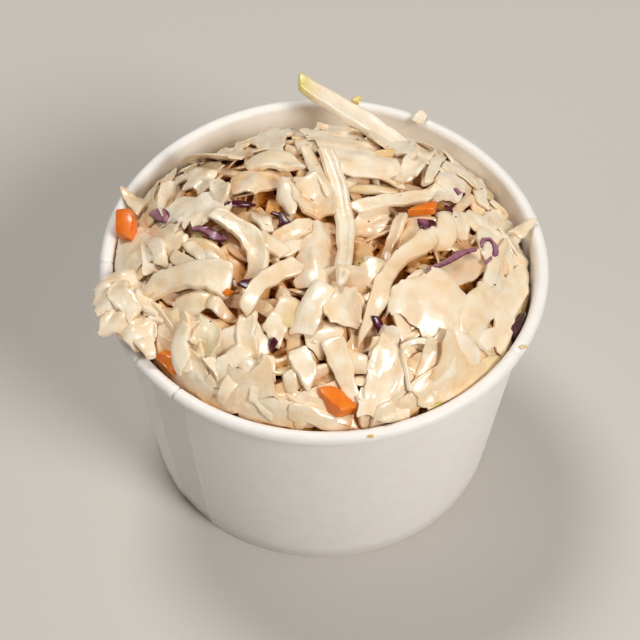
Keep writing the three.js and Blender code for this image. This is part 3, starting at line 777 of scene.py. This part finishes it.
TOP_PIECES = (
    ("shred", ((-24.3, -0.3), (-19, -3.4), (-15.6, -7), (-13.5, -11.5), (-14.7, -17)), (2.6, 3.6, 4, 4, 3), 1.8, dict(tint=0.83, point=(0.5, 0.9))),
    ("shred", ((-16.3, -24.3), (-12.6, -18.4), (-9, -15), (-4, -12)), (2.6, 3.6, 3.6, 3.2), 1.9, dict(tint=0.86, point=(0.5, 0.85))),
    ("shred", ((-39, -13.3), (-31, -14.3), (-24.5, -15.6), (-18.5, -17.6)), (3.8, 4.6, 5.8, 6.2), 2.4, dict(tint=0.78, point=(0.6, 0.9))),
    ("shred", ((-36.2, -0.3), (-34.8, -5), (-33.6, -10.2)), (2.8, 3.4, 2.8), 1.5, dict(tint=1, point=(0.7, 0.8))),
    ("shred", ((-23.8, 11.5), (-22.3, 6.5), (-21, 1)), (2, 3.8, 2.6), 1.5, dict(tint=0.89, twist=35, ruffle=0.4)),
    ("shred", ((-9.8, 8.8), (-7.8, 4.6), (-6.8, 0)), (1.5, 4.2, 0.8), 1.3, dict(tint=0.97)),
    ("leaf", ((-5, 11), (-3.4, 8.5), (-1.8, 5.5)), (4, 5.6, 3), 1.0, dict(tint=0.75)),
    ("shred", ((-4.6, 21), (-1.8, 13), (0.6, 5.5)), (2.4, 3, 1.5), 1.2, dict(tint=0.78)),
    ("shred", ((26, 13), (19.5, 9.8), (12, 7), (4.6, 4.6)), (4, 3.8, 3.2, 2.4), 1.4, dict(tint=0.95)),
    ("leaf", ((0.2, -17.6), (3, -22.6), (8, -26.6)), (2, 7.5, 1), 1.0, dict(tint=0.73)),
    ("shred", ((0.4, -17.8), (-2, -23), (-5, -29)), (3, 5.2, 5), 1.4, dict(tint=0.97)),
    ("shred", ((-5.2, -30.5), (-3.8, -34.5), (-1.4, -38.5)), (3.4, 4, 4.2), 1.5, dict(tint=0.97, point=(0.6, 0.95))),
    ("shred", ((-27.2, -24.6), (-28.9, -28.5), (-27.2, -33.5)), (2.6, 3.2, 2.6), 1.6, dict(tint=1)),
    ("shred", ((-0.8, 19.5), (2.2, 11.5), (3.6, 3), (4.3, -5), (4.1, -13), (3.2, -20.5)), (3.0, 3.4, 3.4, 3.2, 2.8, 1.4), 1.9,
     dict(tint=1, roll=0, tilt=0, tuck=(0, 0), curl=0.12, crumple=0.12, level=1.4, cut=(0.2, 0.3))),
    ("shred", ((15.3, -31.5), (19, -29), (27.3, -30)), (0.9, 1.3, 0.8), 1.2, dict(tint=0.95, roll=40)),
    ("shred", ((27.3, -30.3), (22, -34.6), (17.3, -38)), (1.5, 2.8, 2), 1.2, dict(tint=0.9)),
    ("shred", ((15.8, -31), (16.7, -34.3), (17.6, -38)), (0.9, 1.2, 0.8), 1.2, dict(tint=0.97, roll=40)),
    ("shred", ((15, -40.5), (12.6, -42), (9.8, -43.9)), (2.6, 3, 1), 1.2, dict(tint=0.81)),
    ("shred", ((-45.0, 17.8, 59.9), (-42.4, 14, 60.0), (-39.2, 9.6, 60.6)), (0.7, 2.6, 4), 1.1, dict(tint=0.61)),
    ("shred", ((45.8, 10.6, 59.9), (43.4, 8.2, 59.9), (40.0, 5.0, 60.6)), (0.8, 2.4, 3.4), 1.2, dict(tint=0.9)),
    ("leaf", ((20.4, 39.6, 59.4), (21.6, 41.8, 59.8), (22.4, 43.2, 59.5)), (2.6, 2.2, 1.2), 0.8, dict(tint=0.95)),
    ("chunk", ((40.4, -24.4, 59.3), (41.2, -24.0, 59.4), (42, -23.7, 59.3)), 0.8, 0.5, dict(tint=0.5, green=0.6)),
    ("chunk", ((9.3, -46.8, 59.1), (9.9, -46.7, 59.1), (10.5, -46.6, 59.1)), 0.7, 0.3, dict(tint=0.0)),
)

CLUMP = (
    ("leaf", ((-35, -11, 60.6), (-40, -13, 61.8), (-44.6, -14.4, 61.6), (-48.2, -15.2, 60.2)), (7, 9, 8, 5), 2.4,
     dict(tint=0.85, ruffle=0.4, crumple=0.8)),
    ("leaf", ((-34, -16, 60.4), (-39.5, -18, 61.8), (-44, -19, 61.4), (-47.4, -19.4, 60.0)), (8, 9.5, 8.5, 5.5), 2.6,
     dict(tint=0.8, ruffle=0.4, crumple=0.8)),
    ("leaf", ((-32, -21, 59.8), (-36.6, -22.6, 61.2), (-40.8, -24, 61.0), (-43.4, -24.8, 59.8)), (7, 9, 7, 4), 2.4,
     dict(tint=0.85, ruffle=0.4, crumple=0.8)),
    ("shred", ((-41.6, -11.2, 63.0), (-42.6, -15, 63.6), (-40, -18.6, 63.8), (-38.5, -22.8, 62.6)),
     (3.2, 4.2, 4.2, 3), 1.8, dict(tint=0.85, roll=18, curl=0.2)),
    ("shred", ((-37.4, -13.4, 62.8), (-36.4, -17.4, 63.2), (-33, -19.6, 62.8)), (3, 3.8, 3), 1.8,
     dict(tint=0.95, roll=-15)),
    ("leaf", ((-37.8, -21, 62.8), (-34.6, -20, 63.2), (-31.5, -17.6, 62.8)), (3.4, 5.4, 3.8), 1.2,
     dict(tint=0.95, curl=0.4)),
    ("chunk", ((-38.6, -28.2, 60.8), (-36.2, -27.6, 61.2), (-33.6, -26.4, 61.0)), (4.2, 5.4, 4.4), 3.4,
     dict(tint=0.95, curl=-0.5, point=(0.6, 0.7))),
)

RED_PIECES = (
    (((-37.5, 8.4), (-35, 5), (-33, 2)), (1.5, 3.2, 1.4), 1.2, dict(tint=0.3)),
    (((-27.8, -2.6), (-24, -4.3), (-20, -5.3)), (1.5, 2.2, 1), 1.1, dict(tint=0.5)),
    (((-21.4, 1.6), (-18, 2.9), (-14.2, 1.8)), (0.8, 2.2, 0.8), 1.2, dict(tint=1.0)),
    (((-11.4, 1.4), (-9.6, 0.6), (-8, 0)), 1.1, 1, dict(tint=0.9)),
    (((-10.2, -1.6), (-8.8, -1.3), (-7.2, -0.8)), 3.4, 2, dict(tint=0.9)),
    (((-17.6, -17.6, 71.0), (-14.6, -18.6, 71.2), (-11.4, -18.2, 70.8)), (1.5, 4.0, 1.0), 1.2, dict(tint=1.0)),
    (((-33.2, 25), (-32.4, 22.6), (-31.6, 20.4)), (1.2, 2, 1.2), 1.1, dict(tint=1.0)),
    (((-36.4, 27), (-35, 25), (-33.4, 22.4)), 1, 0.9, dict(tint=0.0)),
    (((-41.4, 24.2), (-41.4, 22), (-41, 20)), 1.5, 1, dict(tint=0.6)),
    (((20.2, 1.8), (20.6, 0), (21.2, -2)), (1.8, 2.6, 1.4), 1.2, dict(tint=0.6)),
    (((21.8, 1.4), (22.3, 0.4), (22.4, -0.6)), 1.7, 1, dict(tint=1.0)),
    (((27.8, 14.5), (28.6, 13.6), (29.4, 12.5)), 2.4, 1, dict(tint=0.1)),
    (((25.3, 6.8), (26.1, 6.2), (27.1, 6.5)), 0.9, 0.8, dict(tint=1.0)),
    (((20.8, -14.9), (25.4, -9.6), (28.8, -5), (32, -2.9)), (0.8, 2.2, 1.7, 0.6), 1.2, dict(tint=0.3)),
    (((33, -2.4), (33.4, 0.3), (35, 1.5), (36.2, -0.3), (35.6, -3.4), (33.5, -6.4)), (0.8, 1.1, 1.1, 1.4, 0.9, 0.6), 1, dict(tint=0.25)),
    (((10.4, -24.8), (11, -26), (11.8, -27.4)), 2.2, 1.2, dict(tint=1.0)),
    (((-10.7, -30.7), (-10, -30), (-9.2, -29.3)), 1.3, 1, dict(tint=1.0)),
    (((42.5, -13), (41.2, -16), (39.2, -19.3)), 1.7, 1.1, dict(tint=0.9)),
)

CARROT_PIECES = (
    ("carrot_left", ((-43.0, 9.6, 61.6), (-42.4, 5.6, 61.2), (-42.2, 1.2, 60.2)), (3.4, 3.8, 3.0), 4.4, dict(roll=20)),
    ("carrot_front", ((-0.4, -37.8, 62.4), (2.4, -40.2, 61.8), (6.2, -42.8, 60.6)), (2.8, 4.0, 3.6), 3.8, dict(roll=-10, point=(0.8, 0.7))),
    ("carrot_side", ((-33.4, -27.6, 59.6), (-30.6, -30.4, 59.8), (-27.8, -33.2, 59.4)), (2.5, 3.4, 2.5), 3.4, dict(roll=10)),
    ("carrot_back", ((17.2, 3.2, 69.8), (20.8, 3.6, 70.2), (24.0, 4.4, 70.2)), (0.8, 2.4, 3.2), 1.8,
     dict(roll=-20, point=(0.3, 0.9))),
    ("bit", ((-19.8, -18.8), (-19.2, -19.3), (-18.6, -19.8)), 1.4, 1.2, dict()),
)


def set_pieces(rows, level):
    for sort, path, width, thick, more in rows:
        looks = dict(level=level, cut=chance.uniform(-0.6, 0.6, 2), point=chance.uniform(0.55, 0.92, 2),
                     crumple=0.3, tear=0.06, ragged=0.17, curl=chance.normal(0, 0.3), roll=chance.normal(0, 12),
                     tilt=chance.normal(0, 0.7), tuck=chance.uniform(0.2, 1.8, 2))
        if len(path[0]) == 3 or max(math.hypot(x, y) for x, y in path) > 41.5:
            looks.update(roll=0, tilt=0, tuck=(0, 0))
        if sort == "leaf":
            looks.update(ragged=0.12, tear=0.12, fold=chance.normal(0, 0.15), crumple=0.38)
        looks.update(more)
        if looks["tint"] > 0.2:
            looks["tint"] = 0.42 + 0.5 * looks["tint"]
        width = np.broadcast_to(np.asarray(width, float), len(path))
        width = np.where(width > 0.5 * width.max(), 0.6 * width + 0.4 * width.max(), width)
        width, thick = width * (1.12 if sort == "leaf" else 1.0), thick * 0.8
        lay("set_" + sort, "fine_sheet" if sort == "leaf" else "fine_bar", path, width, thick, **looks)


def set_red():
    for path, width, thick, more in RED_PIECES:
        lay("red", "bar", path, np.asarray(width) * 0.9, thick * 0.7, tear=0.1, ragged=0.2, **more)


def set_carrots():
    for name, path, width, thick, more in CARROT_PIECES:
        lay(name if name != "bit" else "carrot_bits", "block", path, width, thick, ragged=0.09, crumple=0.2, cut=(0.35, -0.45),
            tear=0.05, **more)


def set_rib():
    """The long rib: tucked into the slaw at one end, over the back rim at the other."""
    lay("rib", "fine_bar", ((19.5, 23.0, 63.4), (13, 29.6, 65.0), (6.3, 35, 65.6), (-0.5, 40.2, 66.3), (-7.6, 45, 67.6)),
        (6, 5.6, 5, 4.6, 4), 2.2, tint=0.85, green=0.8, green_from=0.6, curl=0.25, ragged=0.09,
        point=(0.8, 0.95), cut=(0.3, 0.35))
    lay("rib", "short_bar", ((5.6, 39.4, 66.6), (6.6, 38.8, 67.2), (7.6, 38.0, 66.8)), (1.6, 2.0, 1.4), 1.4, tint=0.6,
        green=1.0)


def scatter_pepper():
    """Ground pepper flecks stuck in the dressing."""
    for k in range(46):
        reach, turn = 41 * math.sqrt(chance.random()), chance.uniform(0, math.tau)
        x, y = reach * math.cos(turn), reach * math.sin(turn)
        size = chance.uniform(0.18, 0.36)
        height = ground[cells(x, y)] + 0.05
        lay("pepper", "short_bar", ((x, y, height), (x + size / 2, y, height), (x + size, y + size / 3, height)),
            size, size * 0.5, ragged=0.2)


def make_camera():
    """Looks down from the front at the height and distance of someone seated at the table."""
    distance, lift, roll = 384.7 * MM, math.radians(49.6), math.radians(1.0)
    aim_side, aim_up = -0.0018, -0.0361
    right, up = Vector((1, 0, 0)), Vector((0, math.sin(lift), math.cos(lift)))
    ahead = (Vector((0, math.cos(lift), -math.sin(lift))) + right * aim_side + up * aim_up).normalized()
    right = (right - ahead * right.dot(ahead)).normalized()
    up = right.cross(ahead)
    right, up = math.cos(roll) * right + math.sin(roll) * up, math.cos(roll) * up - math.sin(roll) * right
    data = bpy.data.cameras.new("camera")
    data.lens, data.sensor_width = 101.25, 36
    camera = bpy.data.objects.new("camera", data)
    bpy.context.scene.collection.objects.link(camera)
    place = Vector((0, -math.cos(lift), math.sin(lift))) * distance + Vector((0, 0, CUP_HEIGHT * MM))
    camera.matrix_world = Matrix.Translation(place) @ Matrix((right, up, -ahead)).transposed().to_4x4()
    data.clip_start, data.clip_end = 0.02, 20
    bpy.context.scene.camera = camera


def lamp(name, azimuth, elevation, distance, size, power, warmth):
    """A soft panel that faces the middle of the heap. Azimuth is counter-clockwise from +X, in degrees."""
    data = bpy.data.lights.new(name, "AREA")
    data.shape, data.size, data.energy, data.color = "DISK", size, power, warmth
    made = bpy.data.objects.new(name, data)
    a, e = math.radians(azimuth), math.radians(elevation)
    away = Vector((math.cos(a) * math.cos(e), math.sin(a) * math.cos(e), math.sin(e)))
    made.location = away * distance + Vector((0, 0, 0.05))
    made.rotation_euler = away.to_track_quat("Z", "Y").to_euler()
    bpy.context.scene.collection.objects.link(made)


def make_studio():
    bm = bmesh.new()
    bmesh.ops.create_grid(bm, x_segments=1, y_segments=1, size=3)
    mesh = bpy.data.meshes.new("floor")
    bm.to_mesh(mesh)
    bm.free()
    mesh.materials.append(plain("matte_floor", "c9c4bd", 0.8))
    floor = bpy.data.objects.new("floor", mesh)
    bpy.context.scene.collection.objects.link(floor)
    world = bpy.data.worlds.new("room")
    world.use_nodes = True
    world.node_tree.nodes["Background"].inputs["Color"].default_value = (1.0, 0.98, 0.95, 1.0)
    world.node_tree.nodes["Background"].inputs["Strength"].default_value = 0.13
    bpy.context.scene.world = world
    lamp("key", -44, 40, 1.1, 0.4, 8.2, (1.0, 0.98, 0.95))
    lamp("above", 122, 64, 1.2, 0.4, 7.3, (1.0, 0.98, 0.95))
    lamp("left", 205, 25, 1.3, 0.5, 1.2, (1.0, 0.98, 0.96))
    bpy.context.scene.view_settings.view_transform = "Standard"


make_camera()
make_studio()
make_cup()
make_core()
scatter()
fill_rim()
set_pieces(LOW_PIECES, -1.2)
set_pieces(MIDDLE_PIECES, -0.4)
set_carrots()
set_red()
set_pieces(TOP_PIECES, 0.6)
set_pieces(CLUMP, 0)
set_rib()
scatter_pepper()
join("shred", "cabbage_shreds", CABBAGE)
join("chunk", "cabbage_chunks", CABBAGE)
join("leaf", "cabbage_leaf_scraps", LEAF)
join("set_shred", "cabbage_long_shreds", CABBAGE)
join("set_chunk", "cabbage_thick_chunks", CABBAGE)
join("set_leaf", "cabbage_leaves", LEAF)
join("red", "red_cabbage_shreds", RED)
join("rib", "cabbage_rib", RIB, ["rib_strip"])
for name in ("carrot_left", "carrot_front", "carrot_side", "carrot_back"):
    join(name, name + "_chunk", CARROT, [name])
join("carrot_bits", "carrot_bits", CARROT)
join("pepper", "pepper_flecks", PEPPER)
